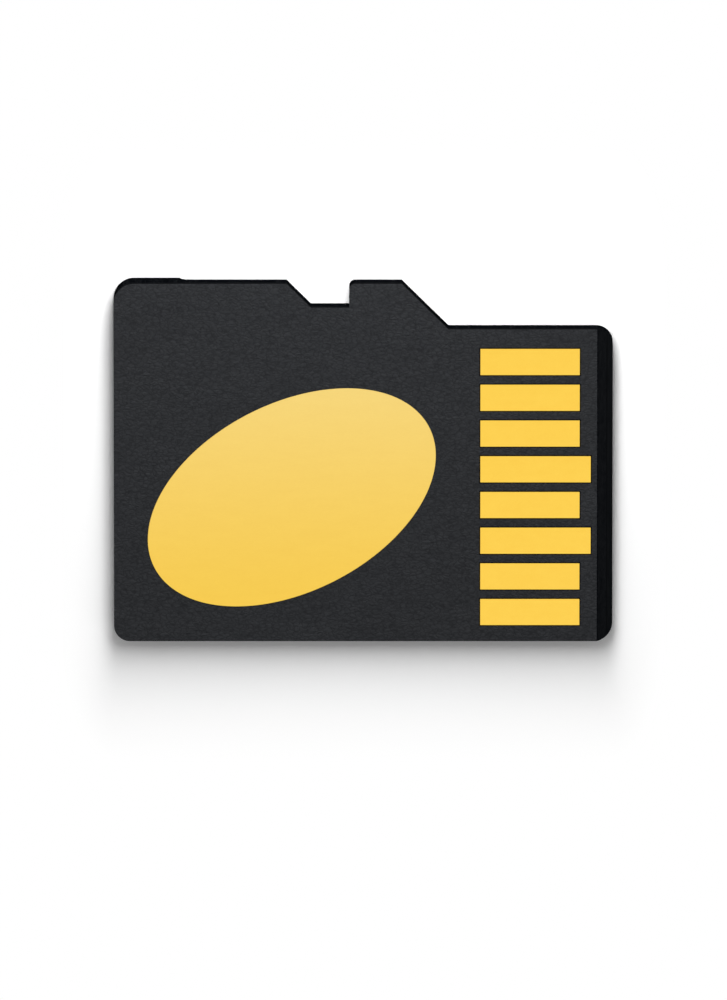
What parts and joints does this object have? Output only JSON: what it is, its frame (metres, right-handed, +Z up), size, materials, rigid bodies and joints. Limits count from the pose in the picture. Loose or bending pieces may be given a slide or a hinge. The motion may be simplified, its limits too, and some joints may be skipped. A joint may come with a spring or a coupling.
{
  "type": "microsd memory card",
  "caption": "Thin memory card with a stepped nose, a latch notch in one long side, flat gold contacts by a bevelled leading edge, a gold oval, and a grip ridge on the back.",
  "frame": {"origin": "on the floor under the middle of the card, at the foot of the grip ridge", "axes": "+X towards the leading (insertion) edge, +Y towards the long side with the latch notch, +Z up, out of the contact face"},
  "size_m": [0.015, 0.011, 0.001],
  "materials": {
    "mould_black": "matte black moulding compound, cut edges",
    "laminate": "black glass-filled laminate, sawn edge",
    "mask_charcoal": "finely grained charcoal lacquer",
    "mask_green": "smooth lacquer over copper",
    "contact_gold": "plain hard gold plating",
    "oval_gold": "thin gold foil",
    "copper": "etched copper",
    "solder": "dull tin solder",
    "silicon": "polished silicon",
    "die_film": "amber glue film",
    "capacitor_ceramic": "fired ceramic with plated ends",
    "wire_gold": "drawn gold wire"
  },
  "bodies": {
    "root": {"moulded_body": "mould_black", "board": "laminate", "contact_side_mask": "mask_charcoal", "die_side_mask": "mask_green", "contact_vias": "copper", "die_side_copper": "copper", "capacitor_solder": "solder", "oval_foil": "oval_gold", "flash_bond_wires": "wire_gold", "controller_bond_wires": "wire_gold", "contact_1_dat2": "contact_gold", "contact_2_dat3": "contact_gold", "contact_3_cmd": "contact_gold", "contact_4_vdd": "contact_gold", "contact_5_clk": "contact_gold", "contact_6_vss": "contact_gold", "contact_7_dat0": "contact_gold", "contact_8_dat1": "contact_gold", "flash_die_1": "silicon", "flash_die_2": "silicon", "flash_die_3": "silicon", "flash_die_4": "silicon", "controller_die": "silicon", "flash_film_1": "die_film", "flash_film_2": "die_film", "flash_film_3": "die_film", "flash_film_4": "die_film", "controller_film": "die_film", "capacitor_1": "capacitor_ceramic", "capacitor_2": "capacitor_ceramic", "capacitor_3": "capacitor_ceramic", "capacitor_4": "capacitor_ceramic"}
  },
  "joints": []
}
